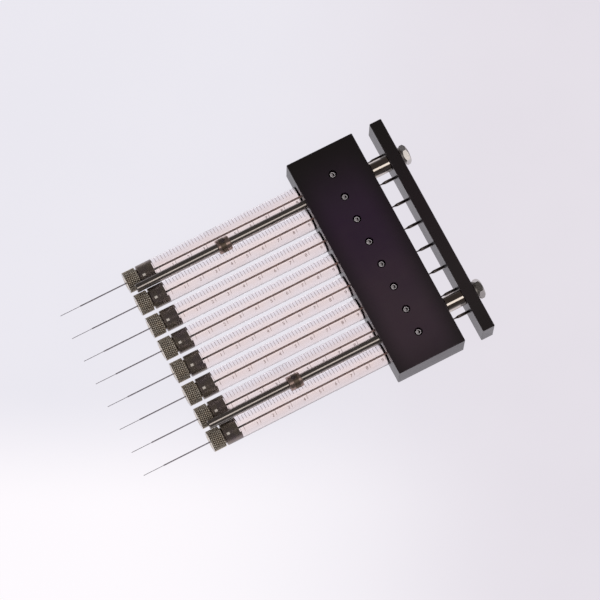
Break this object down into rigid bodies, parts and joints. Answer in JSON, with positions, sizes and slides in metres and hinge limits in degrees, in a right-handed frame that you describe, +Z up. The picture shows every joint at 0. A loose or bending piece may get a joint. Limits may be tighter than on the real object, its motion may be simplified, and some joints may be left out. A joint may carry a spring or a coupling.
{
  "type": "multichannel microsyringe",
  "caption": "Row of fine glass microsyringes in one block, with removable needles, all driven by one plunger bar on two guide rods with stop collars.",
  "frame": {"origin": "centre of the syringe block's bottom face", "axes": "-X towards the needles, +X towards the plunger bar, Y along the row of syringes with channel 1 at +Y, +Z up"},
  "size_m": [0.1325, 0.0834, 0.0134],
  "materials": {
    "black_anodised": "black anodised, satin",
    "barrel_glass": "clear glass with a fired scale",
    "dark_satin_metal": "dark satin plating",
    "knurled_nickel": "knurled, dull nickel plating",
    "needle_steel": "drawn stainless steel",
    "polished_steel": "polished stainless steel",
    "plunger_steel": "dark drawn steel",
    "set_screw_steel": "bright socket screws",
    "collar_steel": "turned steel",
    "fastener_nickel": "bright nickel plating",
    "white_ptfe": "white fluoropolymer",
    "nylon_pad": "natural nylon"
  },
  "bodies": {
    "holder": {"syringe_block": "black_anodised", "set_screws": "set_screw_steel", "screw_pads": "nylon_pad", "needle_seals": "white_ptfe", "barrel_1": "barrel_glass", "barrel_2": "barrel_glass", "barrel_3": "barrel_glass", "barrel_4": "barrel_glass", "barrel_5": "barrel_glass", "barrel_6": "barrel_glass", "barrel_7": "barrel_glass", "barrel_8": "barrel_glass", "terminator_1": "dark_satin_metal", "terminator_2": "dark_satin_metal", "terminator_3": "dark_satin_metal", "terminator_4": "dark_satin_metal", "terminator_5": "dark_satin_metal", "terminator_6": "dark_satin_metal", "terminator_7": "dark_satin_metal", "terminator_8": "dark_satin_metal", "needle_1": "needle_steel", "needle_2": "needle_steel", "needle_3": "needle_steel", "needle_4": "needle_steel", "needle_5": "needle_steel", "needle_6": "needle_steel", "needle_7": "needle_steel", "needle_8": "needle_steel"},
    "bar_carriage": {"plunger_bar": "black_anodised", "plunger_screws": "set_screw_steel", "plunger_tips": "white_ptfe", "rod_washers": "fastener_nickel", "rod_nuts": "fastener_nickel", "guide_rod_1": "polished_steel", "guide_rod_2": "polished_steel", "stop_sleeve_1": "polished_steel", "stop_sleeve_2": "polished_steel", "plunger_1": "plunger_steel", "plunger_2": "plunger_steel", "plunger_3": "plunger_steel", "plunger_4": "plunger_steel", "plunger_5": "plunger_steel", "plunger_6": "plunger_steel", "plunger_7": "plunger_steel", "plunger_8": "plunger_steel"},
    "collar_1": {"stop_collar_1": "collar_steel", "collar_screw_1": "set_screw_steel"},
    "collar_2": {"stop_collar_2": "collar_steel", "collar_screw_2": "set_screw_steel"},
    "nut_1": {"needle_nut_1": "knurled_nickel"},
    "nut_2": {"needle_nut_2": "knurled_nickel"},
    "nut_3": {"needle_nut_3": "knurled_nickel"},
    "nut_4": {"needle_nut_4": "knurled_nickel"},
    "nut_5": {"needle_nut_5": "knurled_nickel"},
    "nut_6": {"needle_nut_6": "knurled_nickel"},
    "nut_7": {"needle_nut_7": "knurled_nickel"},
    "nut_8": {"needle_nut_8": "knurled_nickel"}
  },
  "joints": [
    {"name": "bar_slide", "type": "slide", "parent": "holder", "child": "bar_carriage", "axis": [1, 0, 0], "range_m": [0, 0.0294]},
    {"name": "collar_slide_1", "type": "slide", "parent": "bar_carriage", "child": "collar_1", "axis": [1, 0, 0], "range_m": [-0.03, 0]},
    {"name": "collar_slide_2", "type": "slide", "parent": "bar_carriage", "child": "collar_2", "axis": [1, 0, 0], "range_m": [-0.03, 0]},
    {"name": "needle_nut_turn_1", "type": "hinge", "parent": "holder", "child": "nut_1", "pos_m": [-0.0777, 0.0315, 0.0049], "axis": [-1, 0, 0], "range_deg": [0, 720]},
    {"name": "needle_nut_turn_2", "type": "hinge", "parent": "holder", "child": "nut_2", "pos_m": [-0.0777, 0.0225, 0.0049], "axis": [-1, 0, 0], "range_deg": [0, 720]},
    {"name": "needle_nut_turn_3", "type": "hinge", "parent": "holder", "child": "nut_3", "pos_m": [-0.0777, 0.0135, 0.0049], "axis": [-1, 0, 0], "range_deg": [0, 720]},
    {"name": "needle_nut_turn_4", "type": "hinge", "parent": "holder", "child": "nut_4", "pos_m": [-0.0777, 0.0045, 0.0049], "axis": [-1, 0, 0], "range_deg": [0, 720]},
    {"name": "needle_nut_turn_5", "type": "hinge", "parent": "holder", "child": "nut_5", "pos_m": [-0.0777, -0.0045, 0.0049], "axis": [-1, 0, 0], "range_deg": [0, 720]},
    {"name": "needle_nut_turn_6", "type": "hinge", "parent": "holder", "child": "nut_6", "pos_m": [-0.0777, -0.0135, 0.0049], "axis": [-1, 0, 0], "range_deg": [0, 720]},
    {"name": "needle_nut_turn_7", "type": "hinge", "parent": "holder", "child": "nut_7", "pos_m": [-0.0777, -0.0225, 0.0049], "axis": [-1, 0, 0], "range_deg": [0, 720]},
    {"name": "needle_nut_turn_8", "type": "hinge", "parent": "holder", "child": "nut_8", "pos_m": [-0.0777, -0.0315, 0.0049], "axis": [-1, 0, 0], "range_deg": [0, 720]}
  ]
}
